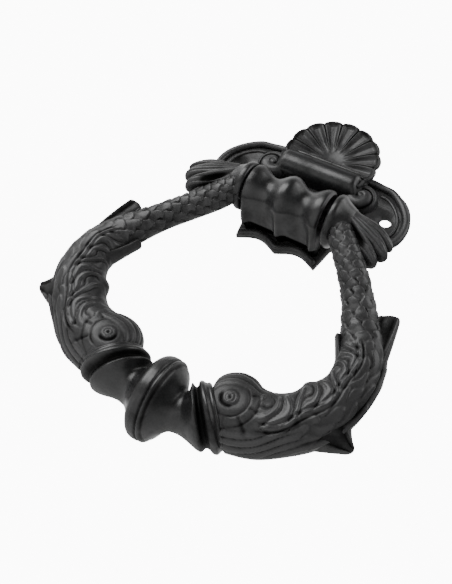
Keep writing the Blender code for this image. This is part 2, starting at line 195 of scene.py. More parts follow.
def wrapped_sheet(steps, place):
    """A grid carried point by point onto a closed shape; place gives points in mm and a relief value."""
    bm = bmesh.new()
    bmesh.ops.create_grid(bm, x_segments=steps[0], y_segments=steps[1], size=0.5)
    layer = bm.verts.layers.float.new("relief")
    verts = list(bm.verts)
    u = np.array([vert.co.x + 0.5 for vert in verts])
    v = np.array([vert.co.y + 0.5 for vert in verts])
    points, relief = place(u, v)
    for vert, point, value in zip(verts, points * MM, relief):
        vert.co = point
        vert[layer] = value
    return bm


def relief_value(height, reach=0.7):
    return np.clip(0.5 + 0.5 * height / reach, 0.0, 1.0)


def sway(z):
    """The casting isn't quite true: the legs bow a little to the right and the heads sit to the left."""
    return 2.1 * bell(z + 22.0, 20.0) - 0.6 * smooth_step(-z, 50.0, 75.0)


def ring_y(z):
    return RING_TOP_Y - RING_LEAN * z


def turned_shape(profile, centre, sides=96):
    """Spins a closed profile of (x, radius) pairs about the line along X through the centre."""
    bm = bmesh.new()
    verts = [bm.verts.new(Vector((x, centre[1] - r, centre[2])) * MM) for x, r in profile]
    edges = [bm.edges.new(pair) for pair in zip(verts, verts[1:])]
    bmesh.ops.spin(
        bm, geom=verts + edges, cent=Vector(centre) * MM, axis=(1.0, 0.0, 0.0),
        angle=2.0 * math.pi, steps=sides, use_merge=True,
    )
    return bm


# Relief of the dolphins -------------------------------------------------------

def scales(along, across, tall=1.3, wide=0.6):
    """Overlapping round scales, one row for each unit along, whose free edges face the tail."""
    height = np.zeros_like(along)
    base = np.ceil(along - 0.3)
    for step in (0.0, 1.0, 2.0):
        row = base + step
        shift = 0.5 * np.mod(row, 2.0)
        offset = across - shift - np.round(across - shift)
        reach = (row - along) / tall
        inside = 1.0 - np.sqrt(reach ** 2 + (offset / wide) ** 2)
        face = np.clip(inside / 0.16, 0.0, 1.0) * (0.30 + 0.70 * np.clip(reach, 0.0, 1.0))
        height = np.maximum(height, face)
    return height


def strands(phase, sharpness=0.7):
    """Rounded strands side by side with a sharp groove between them."""
    return np.abs(np.sin(np.pi * phase)) ** sharpness


def leg_relief(s, angle):
    """Scales that grow from small beads beside the collar to broad ones at the shoulder."""
    pitch_start, pitch_growth = 3.0, 0.050
    uneven = 0.10 * np.sin(1.7 * s + 3.0 * angle) + 0.10 * np.sin(0.9 * s - 5.0 * angle)
    rows = np.log(1.0 + pitch_growth * s / pitch_start) / pitch_growth + uneven
    return 1.25 * scales(rows, angle / (math.pi / 4.0) + 0.6 * uneven, 1.2, 0.56) - 0.5


def flank_relief(s, degrees):
    """Long leaves on the inner side of a spine line and low hooked scales on its outer side."""
    wander = 0.16 * np.sin(0.31 * s + 0.05 * degrees) + 0.11 * np.sin(0.73 * s - 0.09 * degrees + 1.0)
    spine = -6.0 + 30.0 * smooth_step(s, 75.0, 118.0) + 4.0 * np.sin(0.30 * s)
    inner = np.maximum(spine - degrees, 0.0)
    outer = np.maximum(degrees - spine, 0.0)
    leaf_phase = (s + 0.34 * inner - 0.0030 * inner ** 2) / 6.4 + 1.4 * wander
    fork = strands(2.0 * leaf_phase + 0.5, 0.5)
    late = smooth_step(inner, 10.0, 26.0 + 30.0 * wander)
    leaves = strands(leaf_phase, 0.5) - 0.45 * (1.0 - fork) * late - 0.45
    leaves = leaves * (1.0 - 0.8 * smooth_step(inner, 50.0, 66.0))
    low = scales((s + 0.12 * outer) / 7.0 + wander, outer / 25.0 + 0.8 * wander, 1.45, 0.58)
    hooks = 0.85 * low - 0.7 * bell(low - 0.06, 0.10) - 0.35
    side = smooth_step(degrees - spine, -2.5, 2.5)
    rachis = 0.6 * bell(degrees - spine, 3.0) - 0.6 * bell(np.abs(degrees - spine) - 7.0, 2.2)
    rim = 0.9 * bell(degrees - 74.0, 5.0) - 0.6 * bell(degrees - 62.0, 4.0)
    return 1.3 * (1.0 - side) * leaves + side * hooks + rachis + rim


def strand_relief(s, degrees):
    """Long strands that sweep over the jaw's outer side to the collar."""
    phase = (degrees - 20.0 - 1.3 * (s - 112.0)) / 15.0 + 0.25 * np.sin(0.25 * s)
    return strands(phase, 0.5) - 0.5


def head_relief(x, z, s, degrees):
    """Rings round the eye, folds over the brow, and the cheek's shields."""
    dx, dz = x - EYE[0], z - EYE[1]
    r = np.hypot(dx, dz)
    turn = np.degrees(np.arctan2(dz, dx))
    cheek = 1.0 - smooth_step(np.abs(turn + 5.0), 55.0, 80.0)
    jaw = 1.0 - smooth_step(np.abs(turn + 95.0), 45.0, 75.0)
    below = 1.0 - smooth_step(np.abs(np.mod(turn + 300.0, 360.0) - 180.0), 40.0, 85.0)
    socket = 0.2 + 0.65 * below
    height = -0.9 * bell(r, 0.55) + 0.5 * bell(r - 1.15, 0.34) - 0.45 * bell(r - 1.75, 0.26)
    height += 0.4 * bell(r - 2.35, 0.36) - 1.3 * socket * bell(r - 3.5, 0.6)
    fold = strands((degrees + 26.0) / 15.0 + 0.035 * (s - 120.0), 0.8) - 0.45
    brow = smooth_step(-degrees, 24.0, 34.0) * smooth_step(r, 4.2, 5.6)
    height += 0.7 * brow * fold
    plate = smooth_step(r, 4.6, 5.6) * cheek * (1.0 - brow)
    height += plate * (-0.5 * bell(r - 7.4, 0.4) - 0.5 * bell(r - 11.2, 0.45) + 0.1)
    seam = bell(np.mod(turn + 20.0, 38.0) - 19.0, 3.4) * smooth_step(r, 7.9, 8.6)
    height += -0.55 * plate * seam
    height += -0.3 * jaw * bell(r - 7.6, 0.4)
    return height


def dolphin_relief(s, angle, x, z):
    degrees = np.degrees(angle)
    front = 1.0 - smooth_step(np.abs(degrees + 8.0), 78.0, 96.0)
    rear = 1.0 - smooth_step(np.abs(degrees), 100.0, 125.0)
    leg = 1.0 - smooth_step(s, 57.0, 62.0)
    start = smooth_step(s, 58.0, 63.0)
    head = smooth_step(s, 113.0, 118.0) * (1.0 - smooth_step(degrees, 38.0, 50.0))
    jaw = smooth_step(s, 98.0, 108.0) * smooth_step(degrees, 30.0, 42.0)
    flank = start * (1.0 - head) * (1.0 - jaw)
    height = 0.85 * leg * rear * leg_relief(s, angle)
    height += 0.95 * flank * front * flank_relief(s, degrees)
    height += 0.75 * head * front * head_relief(x, z, s, degrees)
    height += 0.95 * jaw * (1.0 - smooth_step(degrees, 82.0, 96.0)) * strand_relief(s, degrees)
    shoulder = start * (1.0 - smooth_step(s, 120.0, 130.0))
    height += 0.4 * shoulder * bell(degrees - 82.0, 5.0)
    return height * (1.0 - smooth_step(s, 131.5, 134.0))


# Ring pieces ------------------------------------------------------------------

def dolphin_line():
    """Distance along the dolphin's middle line at each of its stations."""
    xz = np.array([row[:2] for row in DOLPHIN])
    return np.concatenate([[0.0], np.cumsum(np.hypot(*np.diff(xz, axis=0).T))])


def dolphin_body(side, finish):
    knots = dolphin_line()
    table = np.array(DOLPHIN)

    def place(u, v):
        s = u * knots[-1]
        angle = (v * 2.0 - 1.0) * math.pi
        x, z, inner, outer, depth = through(knots, table, s).T
        ahead = through(knots, table[:, :2], np.minimum(s + 0.3, knots[-1]))
        behind = through(knots, table[:, :2], np.maximum(s - 0.3, 0.0))
        tx, tz = (ahead - behind).T
        length = np.hypot(tx, tz)
        nx, nz = -tz / length, tx / length
        belly = 1.9 * bell(s - 91.0, 4.2) + FOREHEAD[side] * bell(s - 126.0, 8.0)
        width = np.where(np.sin(angle) > 0.0, outer, inner + belly)
        px, pz = x + nx * width * np.sin(angle), z + nz * width * np.sin(angle)
        height = dolphin_relief(s, angle, px, pz)
        px, pz = px + nx * height * np.sin(angle), pz + nz * height * np.sin(angle)
        back = ring_y(z) - (depth + height) * np.cos(angle)
        sunk = smooth_step(s, 118.0, knots[-1])
        back = back + sunk * (GRIP_Y - ring_y(z))
        return np.stack([side * px + SIDE_PLAY + sway(pz), back, pz], axis=1), relief_value(height)

    name = "right_dolphin_body" if side > 0 else "left_dolphin_body"
    node = "right_dolphin" if side > 0 else "left_dolphin"
    return finished(name, wrapped_sheet(DOLPHIN_STEPS, place), finish, RING, (node,))


def bend(start, middle, end, t):
    t = t[:, None]
    return (1 - t) ** 2 * np.array(start) + 2 * t * (1 - t) * np.array(middle) + t ** 2 * np.array(end)


def leaf(name, side, finish, edge_a, edge_b, thick, scoop, lift=0.0, ridges=3, slip=0.0, steps=(80, 96)):
    """A curled leaf fin between two curved edges, hollowed on its front."""
    def place(u, v):
        a, b = bend(*edge_a, u), bend(*edge_b, u)
        middle, half = (a + b) / 2.0, (a - b) / 2.0
        angle = v * 2.0 * math.pi
        rounding = np.sqrt(np.clip(1.0 - np.clip((u - 0.90) / 0.10, 0.0, 1.0) ** 2, 0.0, 1.0))
        across = np.cos(angle) * rounding
        depth = (thick[0] + (thick[1] - thick[0]) * u) / 2.0 * rounding
        xz = middle + half * across[:, None]
        front = np.clip(np.sin(angle), 0.0, 1.0)
        channel = smooth_step(1.0 - np.abs(across), 0.10, 0.55) * front * rounding
        hollow = scoop * np.clip(u * 1.6 - 0.2, 0.0, 1.0) * channel
        groove = 0.35 * (strands((across + 1.0) * ridges / 2.0 + 0.5) - 0.6) * front * rounding
        y = ring_y(xz[:, 1]) - depth * np.sin(angle) * (1.0 + 0.15 * front) + hollow - groove - lift * u
        px = side * (xz[:, 0] + slip) + SIDE_PLAY + sway(xz[:, 1])
        # Painted shade: the hollow channel on the fin's front is made darker than its grooves alone would
        # make it.
        return np.stack([px, y, xz[:, 1]], axis=1), relief_value(groove - 0.42 * channel)
    return finished(name, wrapped_sheet(steps, place), finish, RING)


def fins(side, finish):
    hand = "right" if side > 0 else "left"
    leaf(
        f"{hand}_upper_fin", side, finish,
        ((73.6, -72.0), (71.6, -48.0), (66.2, -31.4)), ((59.0, -64.0), (58.6, -46.0), (58.4, -35.0)),
        (13.0, 7.6), 3.4, lift=0.6, ridges=2,
    )
    leaf(
        f"{hand}_inner_fin", side, finish,
        ((64.0, -64.0), (60.5, -54.0), (56.0, -48.4)), ((56.6, -70.0), (51.4, -60.0), (45.8, -50.6)),
        (13.0, 11.0), 5.2, lift=1.6, ridges=1, slip=1.6 if side > 0 else 0.2,
    )
    leaf(
        f"{hand}_lower_fin", side, finish,
        ((69.0, -74.0), (71.4, -85.0), (76.4, -88.8)), ((52.0, -100.6), (65.0, -96.0), (75.2, -91.2)),
        (15.0, 5.4), 2.0, lift=0.2, ridges=2,
    )


def tail_fluke(side, finish):
    """A cupped fan of four rounded lobes that hangs over the front of the leg from the collar."""
    root, heading, length, lobes = (27.4, 2.0), math.radians(-32.0), 26.6, 4
    ahead = np.array([math.cos(heading), math.sin(heading)])
    across = np.array([-ahead[1], ahead[0]])

    def place(u, v):
        front = u < 0.5
        t = 1.0 - np.abs(u * 2.0 - 1.0)
        w = v * 2.0 - 1.0
        lobe = np.abs(np.sin(math.pi * lobes * (v + 0.05 * np.sin(2.0 * math.pi * v)))) ** 0.6
        reach = length * (1.0 - 0.16 * w ** 2) * (0.90 + 0.10 * lobe)
        run = np.sin(t * math.pi / 2.0)
        half = 5.4 + 4.4 * smooth_step(run, 0.0, 0.65)
        bowed = w * half * (1.0 - 0.05 * run)
        xz = np.array(root) + ahead * (run * reach)[:, None] + across * bowed[:, None]
        edge = np.sqrt(np.clip(1.0 - w ** 2, 0.0, 1.0)) ** 0.8 * np.sqrt(np.clip(1.0 - run ** 6, 0.0, 1.0))
        sweep = v + 0.05 * np.sin(3.0 * run + 1.0)
        ridge = (lobe - 0.55) * smooth_step(run, 0.55, 0.95)
        fine = 0.42 * (strands(sweep * lobes * 2.5, 0.6) - 0.5) * smooth_step(run, 0.1, 0.4)
        pits = bell(w + 0.35, 0.13) * bell(run - 0.45, 0.20) + bell(w + 0.72, 0.10) * bell(run - 0.6, 0.16)
        height = (1.2 * ridge + fine - 2.6 * pits + 0.5 * bell(w + 0.12, 0.12)) * edge ** 0.5
        dome = 4.9 * edge + height
        y = np.where(front, -26.4 - dome, -26.4 + 4.6 * edge) + 2.6 * run ** 2 - 2.4 * w * run
        # Painted shade: the fluke's back, which faces the plate, is made darker.
        relief = relief_value(np.where(front, height, -0.3), 0.9)
        return np.stack([side * xz[:, 0] + SIDE_PLAY, y, xz[:, 1]], axis=1), relief

    hand = "right" if side > 0 else "left"
    return finished(f"{hand}_tail_fluke", wrapped_sheet((110, 150), place), finish, RING)


def collar(side, finish):
    """The round collar that turns on the pin, with a rounded rim and a stepped neck."""
    profile = [
        (20.9, 0.0), (20.9, 11.4), (21.2, 12.1), (21.8, 12.5), (22.6, 12.6), (23.5, 12.5), (24.2, 12.1),
        (24.8, 11.4), (25.8, 10.7), (27.2, 9.9), (28.8, 9.1), (30.4, 8.3), (31.6, 7.4), (31.8, 0.0),
    ]
    worn = 0.9 if side < 0 else 0.0
    profile = [(side * x + SIDE_PLAY, max(r - worn, 0.0)) for x, r in profile]
    hand = "right" if side > 0 else "left"
    bm = turned_shape(profile, (0.0, HINGE_Y, 0.0))
    return finished(f"{hand}_collar", bm, finish, RING, crease=50)


def grip(finish):
    axis, girth = np.array(GRIP_AXIS), np.array(GRIP_RADIUS)
    end = axis[-1, 0]

    def place(u, v):
        p = (u * 2.0 - 1.0) * end
        hand, away = np.sign(p), np.abs(p)
        x, z, lean = through(axis[:, 0], axis[:, 1:], away).T
        radius = through(girth[:, 0], girth[:, 1], away)
        groove = sum(0.45 * bell(p - at, 0.55) for at in KNOB_GROOVES) - 0.15 * bell(p - 2.6, 0.4)
        radius = radius - groove
        # Painted shade: the knob's grooves and the deep groove before the flange are made darker through
        # the relief value.
        shade = 0.9 * groove + 0.75 * bell(away - GRIP_GROOVE[0], GRIP_GROOVE[1])
        angle = v * 2.0 * math.pi
        tilt = np.radians(lean)
        px = x + radius * np.cos(angle) * -np.sin(tilt)
        pz = z + radius * np.cos(angle) * np.cos(tilt)
        y = GRIP_Y + radius * np.sin(angle)
        px = hand * px + SIDE_PLAY + sway(pz) * smooth_step(away, 14.0, 22.0)
        return np.stack([px, y, pz], axis=1), relief_value(-shade)

    return finished("turned_grip", wrapped_sheet((360, 120), place), finish, RING, ("baluster_grip",))


# Plate pieces --------------------------------------------------------------------

def knuckle(finish):
    """The three-ribbed barrel, its flat apron panels and the rough core behind them."""
    half, rib, cove, rib_x = 19.6, 12.4, 8.5, 17.5

    def barrel_radius(x):
        wave = 0.5 + 0.5 * np.cos(2.0 * math.pi * x / rib_x)
        fade = smooth_step(np.abs(x), 18.4, half)
        worn = 0.9 * bell(x + rib_x, 7.0)
        return cove + (rib - cove) * wave - 0.7 * fade - worn

    def place(u, v):
        x = (u * 2.0 - 1.0) * half
        radius = barrel_radius(x)
        ridge = bell(x, 1.9) + bell(np.abs(x) - 17.6, 1.9)
        drop = 10.0 + 2.4 * ridge
        top = np.clip(v / 0.15, 0.0, 1.0)
        around = np.clip((v - 0.15) / 0.5, 0.0, 1.0)
        panel = np.clip((v - 0.65) / 0.2, 0.0, 1.0)
        under = np.clip((v - 0.85) / 0.15, 0.0, 1.0)
        a = np.radians(78.0 + 168.0 * around)
        y = HINGE_Y + radius * np.cos(a)
        z = radius * np.sin(a)
        y = np.where(v < 0.15, -4.4 + (y + 4.4) * top, y)
        z = np.where(v < 0.15, 7.5 + (z - 7.5) * top, z)
        y = np.where(v > 0.65, y + (-12.0 - y) * panel, y)
        z = np.where(v > 0.65, z + (-drop - z) * panel ** 0.8, z)
        y = np.where(v > 0.85, -12.0 + 7.6 * under, y)
        z = np.where(v > 0.85, -drop + 3.0 * np.clip(under * 4.0, 0.0, 1.0), z)
        # Painted shade: the core under the panels gets a low relief value, so it is darker as well as
        # rougher.
        relief = np.where(v > 0.85, -0.5, 0.0)
        return np.stack([x, y, z], axis=1), relief_value(relief)

    barrel = wrapped_sheet((240, 140), place)
    return finished("ribbed_knuckle", barrel, finish, MOUNT, ("hinge_knuckle",), 60)


def shell(finish):
    """A dished scallop with hollow lobes, a pair of ribs between them and a scalloped rim."""
    centre, reach, spacing, low, high = (SHELL_SHIFT, 46.0), 24.5, 24.5, -32.0, 208.0

    def place(u, v):
        degrees = low + (high - low) * v
        radial = 1.0 - np.abs(u * 2.0 - 1.0)
        front = u < 0.5
        phase = (degrees - 90.0) / spacing
        lobe = np.abs(np.cos(math.pi * phase))
        rim = reach * (0.935 + 0.065 * np.sqrt(lobe))
        r = rim * radial
        crest = -6.8 - 3.0 * smooth_step(r, 1.0, 15.0) - 2.0 * smooth_step(r, 10.0, 24.0)
        fade = smooth_step(r, 5.0, 14.0)
        pan = smooth_step(lobe, 0.26, 0.95)
        hollow = pan * fade * (1.0 - smooth_step(radial, 0.86, 0.96))
        split = bell(lobe, 0.10) * fade * (1.0 - smooth_step(radial, 0.93, 0.99))
        lip = bell(radial - 0.965, 0.022)
        height = -1.9 * hollow - 0.9 * split + 0.35 * lip
        rounding = np.sqrt(np.clip(1.0 - radial ** 16, 0.0, 1.0))
        middle = crest + 2.0
        y = np.where(front, middle + (crest - height - middle) * rounding, middle + 0.8 * rounding)
        a = np.radians(degrees)
        x, z = centre[0] + r * np.cos(a), centre[1] + r * np.sin(a)
        # Painted shade along the splits between the lobes and just inside the rim; the whole front is
        # lifted a little as painted light.
        shade = -0.9 * split - 0.5 * bell(radial - 0.92, 0.03)
        return np.stack([x, y, z], axis=1), relief_value(np.where(front, shade + 0.15, 0.0))

    return finished("shell_crest", wrapped_sheet((180, 460), place), finish, MOUNT, ("scallop_shell",))


def swept_roll(name, path, radius, finish, sides=28, steps=220):
    """A round moulding along a smooth path of (x, y, z) points."""
    path = np.array(path, float)
    knots = np.concatenate([[0.0], np.cumsum(np.linalg.norm(np.diff(path, axis=0), axis=1))])
    radii = np.interp(knots, [0.0, knots[-1]], radius) if len(radius) == 2 else np.array(radius)

    def place(u, v):
        s = u * knots[-1]
        centre = through(knots, path, s)
        ahead = through(knots, path, np.minimum(s + 0.05, knots[-1]))
        behind = through(knots, path, np.maximum(s - 0.05, 0.0))
        along = ahead - behind
        along[:, 1] = 0.0
        along /= np.linalg.norm(along, axis=1)[:, None]
        outward = np.stack([-along[:, 2], np.zeros_like(s), along[:, 0]], axis=1)
        ends = np.minimum(u, 1.0 - u) * knots[-1]
        short_of_full = np.clip(1.0 - ends / ROLL_END_ROUND, 0.0, 1.0)
        r = np.interp(s, knots, radii) * np.sqrt(np.clip(1.0 - short_of_full ** 2, 0.0, 1.0))
        a = v * 2.0 * math.pi
        point = centre + outward * (r * np.cos(a))[:, None]
        point[:, 1] -= r * np.sin(a)
        # Painted light and shade: each moulding is lighter on its front half and darker on the half that
        # faces the plate.
        return point, relief_value(0.25 * np.sin(a))

    return finished(name, wrapped_sheet((steps, sides), place), finish, MOUNT)


LOBE_RIM = (
    (31.0, 7.2), (38.0, 7.4), (44.6, 10.0), (48.9, 15.0), (50.3, 21.4), (49.4, 28.2),
    (46.0, 34.2), (41.4, 39.0), (36.0, 42.4), (30.8, 43.2),
)
VOLUTE = (24.1, 31.4)


def scroll_path(side):
    """Up round the lobe's rim and over its top to the end of the bar."""
    points = [(x, -4.6, z) for x, z in LOBE_RIM]
    points += [(26.5, -5.4, 43.3), (22.5, -6.8, 42.6), (18.5, -7.6, 42.3)]
    return [(side * x + CREST_SHIFT, y, z) for x, y, z in points]


def inner_rim_path(side):
    """A thin bead that follows the lobe's rim on its inner side."""
    middle_x, middle_z = INNER_RIM_CENTRE
    points = [
        (middle_x + (x - middle_x) * INNER_RIM_INSET, middle_z + (z - middle_z) * INNER_RIM_INSET)
        for x, z in LOBE_RIM
    ]
    return [(side * x + CREST_SHIFT, INNER_RIM_Y, z) for x, z in points]


def lip_path():
    """The rolled edge that follows the plate's scalloped lip from point to point."""
    points = []
    for i in range(49):
        share = i / 24 - 1.0
        points.append((20.4 * share, -4.3, -13.2 + 3.8 * math.sin(math.pi * abs(share)) ** 1.2))
    return points


def volute_boss(side, finish):
    """The raised round that carries the spiral, coiling in to a small button."""
    radius, coil = VOLUTE_R, VOLUTE_COIL

    def place(u, v):
        radial = 1.0 - np.abs(u * 2.0 - 1.0)
        front = u < 0.5
        turn = v * 2.0 * math.pi
        r = radius * radial
        phase = (r - 1.0) / coil + turn / (2.0 * math.pi) + 0.30
        winding = (strands(phase, 0.28) - 0.80) * smooth_step(r, 1.0, 2.2)
        height = 2.6 * winding + 0.5 * bell(r, 1.6)
        rounding = np.sqrt(np.clip(1.0 - radial ** 5, 0.0, 1.0))
        y = np.where(front, -2.5 - (6.4 + height) * rounding, -2.5)
        x, z = VOLUTE[0] + r * np.cos(turn), VOLUTE[1] + r * np.sin(turn)
        return np.stack([side * x + CREST_SHIFT, y, z], axis=1), relief_value(height, 1.2)
    hand = "right" if side > 0 else "left"
    return finished(f"{hand}_volute", wrapped_sheet((120, 150), place), finish, MOUNT)


def plate_outline():
    """Right half from the lip's middle point up round the lobe to the crown, then its mirror."""
    lip = []
    for i in range(13):
        share = i / 12
        lip.append((20.8 * share, -14.2 + 3.8 * math.sin(math.pi * share) ** 1.2))
    side = [(22.0, -7.5), (22.8, -2.0), (24.0, 3.5)]
    lobe = []
    for i in range(27):
        a = math.radians(-118.0 + 205.0 * i / 26)
        lobe.append((34.6 + 16.8 * math.cos(a), 24.9 + 17.4 * math.sin(a) + 2.0 * max(0.0, math.sin(a))))
    top = [(28.0, 45.6), (22.0, 45.4), (12.0, 47.0), (0.0, 48.0)]
    upper = [(x + CREST_SHIFT, z) for x, z in lobe + top]
    crest = [(CREST_SHIFT - (x - CREST_SHIFT), z) for x, z in reversed(upper[:-1])]
    foot = [(-x, z) for x, z in reversed(lip[1:] + side)]
    return lip + side + upper + crest + foot


def cut_through(target, cutter):
    """Takes the cutter's shape out of the target's mesh and removes the cutter."""
    modifier = target.modifiers.new("screw_hole", "BOOLEAN")
    modifier.operation = "DIFFERENCE"
    modifier.solver = "EXACT"
    modifier.object = cutter
    graph = bpy.context.evaluated_depsgraph_get()
    mesh = bpy.data.meshes.new_from_object(target.evaluated_get(graph))
    target.modifiers.clear()
    target.data = mesh
    bpy.data.objects.remove(cutter)


def screw_hole_shape(side):
    """A straight hole that widens to a countersink at the plate's front."""
    bm = bmesh.new()
    profile = [(1.0, 0.0), (1.0, 2.7), (-1.6, 2.7), (-4.3, 5.9), (-7.0, 5.9), (-7.0, 0.0)]
    verts = [bm.verts.new(Vector((r, y, 0.0)) * MM) for y, r in profile]
    edges = [bm.edges.new(pair) for pair in zip(verts, verts[1:])]
    bmesh.ops.spin(
        bm, geom=verts + edges, cent=(0.0, 0.0, 0.0), axis=(0.0, 1.0, 0.0),
        angle=2.0 * math.pi, steps=64, use_merge=True,
    )
    bmesh.ops.remove_doubles(bm, verts=bm.verts, dist=MERGE)
    bmesh.ops.recalc_face_normals(bm, faces=bm.faces)
    bmesh.ops.translate(bm, verts=bm.verts, vec=Vector((side * 40.0 + CREST_SHIFT, 0.0, 26.5)) * MM)
    mesh = bpy.data.meshes.new("screw_hole")
    bm.to_mesh(mesh)
    bm.free()
    cutter = bpy.data.objects.new("screw_hole", mesh)
    bpy.context.scene.collection.objects.link(cutter)
    return cutter


def plate(finish):
    bm = bmesh.new()
    verts = [bm.verts.new(Vector((x, 0.0, z)) * MM) for x, z in plate_outline()]
    face = bm.faces.new(verts)
    swept = bmesh.ops.extrude_face_region(bm, geom=[face], use_keep_orig=True)
    moved = [item for item in swept["geom"] if isinstance(item, bmesh.types.BMVert)]
    bmesh.ops.translate(bm, verts=moved, vec=(0.0, -4.0 * MM, 0.0))
    bmesh.ops.recalc_face_normals(bm, faces=bm.faces)
    flat = [f for f in bm.faces if len(f.verts) > 6]
    rims = {edge for f in flat for edge in f.edges}
    bmesh.ops.bevel(
        bm, geom=list(rims), offset=0.9 * MM, segments=3, profile=0.5, affect="EDGES", material=-1,
    )
    piece = finished("scrolled_plate", bm, finish, MOUNT, ("backplate",), 45)
    for side in (-1, 1):
        cut_through(piece, screw_hole_shape(side))
    piece.data.attributes["relief"].data.foreach_set("value", [0.5] * len(piece.data.vertices))
    piece.data.set_sharp_from_angle(angle=math.radians(45))
    return piece


def cornice(finish):
    """The half-round bar between the volutes, with a fillet along its upper edge."""
    def place(u, v):
        x = (u * 2.0 - 1.0) * BAR_HALF_LENGTH
        profile = [
            (-2.0, 27.6), (-5.5, 27.6), (-8.8, 28.2), (-11.2, 29.8), (-12.8, 32.2), (-13.3, 35.0),
            (-12.9, 37.8), (-11.6, 40.2), (-9.8, 41.6), (-9.0, 42.1), (-8.9, 42.7), (-9.0, 43.4),
            (-8.3, 44.2), (-7.0, 44.6), (-4.4, 44.8), (-2.0, 44.8),
        ]
        knots = np.linspace(0.0, 1.0, len(profile))
        y, z = through(knots, np.array(profile), v).T
        dip = smooth_step(np.abs(x), BAR_DIP_FROM, BAR_HALF_LENGTH)
        y = y + dip * (np.maximum(y, -7.4) - y)
        # Painted shade: the bar is made darker towards its ends, where it sinks back towards the plate.
        return np.stack([x + CREST_SHIFT, y, z], axis=1), relief_value(-0.3 * dip)
    return finished("cornice_bar", wrapped_sheet((40, 80), place), finish, MOUNT, crease=60)


# Finishes ---------------------------------------------------------------------------

def link(tree, source, target):
    tree.links.new(source, target)


def socket(group, name, direction, kind, value=None):
    made = group.interface.new_socket(name=name, in_out=direction, socket_type=kind)
    if value is not None:
        made.default_value = value
    return made


def math_node(tree, operation, a, b=None):
    node = tree.nodes.new("ShaderNodeMath")
    node.operation = operation
    for slot, value in zip(node.inputs, (a, b)):
        if isinstance(value, (int, float)):
            slot.default_value = value
        elif value is not None:
            link(tree, value, slot)
    return node.outputs[0]


def noise_node(tree, where, scale, detail=4.0, rough=0.55):
    node = tree.nodes.new("ShaderNodeTexNoise")
    node.inputs["Scale"].default_value = scale
    node.inputs["Detail"].default_value = detail
    node.inputs["Roughness"].default_value = rough
    link(tree, where, node.inputs["Vector"])
    return node.outputs["Fac"]


def cast_grain_group():
    """Sand-cast grain and shallow dimples as a height, and a slow mottle as a mask."""
    group = bpy.data.node_groups.new("cast_grain", "ShaderNodeTree")
    socket(group, "Position", "INPUT", "NodeSocketVector")
    socket(group, "Grain", "INPUT", "NodeSocketFloat", 0.5)
    socket(group, "Dimples", "INPUT", "NodeSocketFloat", 0.5)
    socket(group, "Height", "OUTPUT", "NodeSocketFloat")
    socket(group, "Mottle", "OUTPUT", "NodeSocketFloat")
    start, end = group.nodes.new("NodeGroupInput"), group.nodes.new("NodeGroupOutput")
    where = start.outputs["Position"]
    grain = math_node(group, "MULTIPLY", noise_node(group, where, 2600.0, 2.0), start.outputs["Grain"])
    dimple = math_node(group, "MULTIPLY", noise_node(group, where, 420.0, 3.0), start.outputs["Dimples"])
    link(group, math_node(group, "ADD", grain, dimple), end.inputs["Height"])
    link(group, noise_node(group, where, 95.0, 5.0, 0.6), end.inputs["Mottle"])
    return group


def painted_shade_coat_group():
    """Colour, roughness, coat and metallic of a black coat from its relief: painted shade darkens the
    hollows and turns them metallic so they lose their reflection; the crests are lighter, smoother and
    glossier.
    """
    group = bpy.data.node_groups.new("painted_shade_coat", "ShaderNodeTree")
    socket(group, "Relief", "INPUT", "NodeSocketFloat", 0.5)
    socket(group, "Mottle", "INPUT", "NodeSocketFloat", 0.5)
    socket(group, "Hollow", "INPUT", "NodeSocketColor", (0.004, 0.004, 0.004, 1.0))
    socket(group, "Crest", "INPUT", "NodeSocketColor", (0.03, 0.03, 0.031, 1.0))
    socket(group, "Smooth", "INPUT", "NodeSocketFloat", 0.32)
    socket(group, "Dull", "INPUT", "NodeSocketFloat", 0.6)
    socket(group, "Gloss", "INPUT", "NodeSocketFloat", 0.5)
    socket(group, "Color", "OUTPUT", "NodeSocketColor")
    socket(group, "Roughness", "OUTPUT", "NodeSocketFloat")
    socket(group, "Sheen", "OUTPUT", "NodeSocketFloat")
    socket(group, "Hollow Shade", "OUTPUT", "NodeSocketFloat")
    start, end = group.nodes.new("NodeGroupInput"), group.nodes.new("NodeGroupOutput")
    mottle = math_node(group, "MULTIPLY", math_node(group, "SUBTRACT", start.outputs["Mottle"], 0.5), 0.9)
    level = math_node(group, "ADD", start.outputs["Relief"], mottle)
    ramp = group.nodes.new("ShaderNodeMapRange")
    ramp.interpolation_type = "SMOOTHSTEP"
    ramp.inputs["From Min"].default_value = 0.12
    ramp.inputs["From Max"].default_value = 0.88
    link(group, level, ramp.inputs["Value"])
    # Painted shade: the colour falls from the crest colour to the near-black hollow colour as the relief
    # drops.
    colour = group.nodes.new("ShaderNodeMix")
    colour.data_type = "RGBA"
    link(group, ramp.outputs["Result"], colour.inputs["Factor"])
    link(group, start.outputs["Hollow"], colour.inputs["A"])
    link(group, start.outputs["Crest"], colour.inputs["B"])
    link(group, colour.outputs["Result"], end.inputs["Color"])
    rough = group.nodes.new("ShaderNodeMix")
    link(group, ramp.outputs["Result"], rough.inputs["Factor"])
    link(group, start.outputs["Dull"], rough.inputs["A"])
    link(group, start.outputs["Smooth"], rough.inputs["B"])
    link(group, rough.outputs["Result"], end.inputs["Roughness"])
    sheen = math_node(group, "MULTIPLY", ramp.outputs["Result"], start.outputs["Gloss"])
    link(group, sheen, end.inputs["Sheen"])
    # Painted shade: the hollows turn metallic, so with their near-black colour they lose their reflection
    # and look darker.
    hollow_shade = group.nodes.new("ShaderNodeMapRange")
    hollow_shade.interpolation_type = "SMOOTHSTEP"
    for name, value in (("From Min", 0.02), ("From Max", 0.55), ("To Min", 0.85), ("To Max", 0.0)):
        hollow_shade.inputs[name].default_value = value
    link(group, level, hollow_shade.inputs["Value"])
    link(group, hollow_shade.outputs["Result"], end.inputs["Hollow Shade"])
    return group


